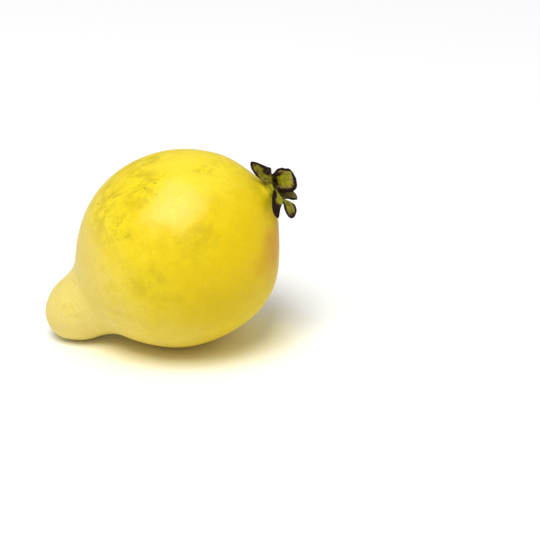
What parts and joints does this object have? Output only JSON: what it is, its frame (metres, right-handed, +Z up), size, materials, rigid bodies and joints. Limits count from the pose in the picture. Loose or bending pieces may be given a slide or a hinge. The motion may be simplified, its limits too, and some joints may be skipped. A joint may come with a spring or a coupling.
{
  "type": "guava",
  "caption": "Whole ripe pear-shaped yellow guava lying on its side, with its neck and its dry-edged green calyx.",
  "frame": {"origin": "on the surface that the guava lies on, under the middle of its box", "axes": "+Z up; the neck points along -X, and the calyx along +X and upwards"},
  "size_m": [0.0846, 0.0648, 0.0643],
  "materials": {
    "skin": "satin",
    "calyx": "matte",
    "dry_style": "matte",
    "cork": "matte"
  },
  "bodies": {
    "root": {"fruit": "skin", "calyx_tube": "calyx", "calyx_lobe_1": "calyx", "calyx_lobe_2": "calyx", "calyx_lobe_3": "calyx", "calyx_lobe_4": "calyx", "calyx_lobe_5": "calyx", "style": "dry_style", "stalk_scar": "cork"}
  },
  "joints": []
}
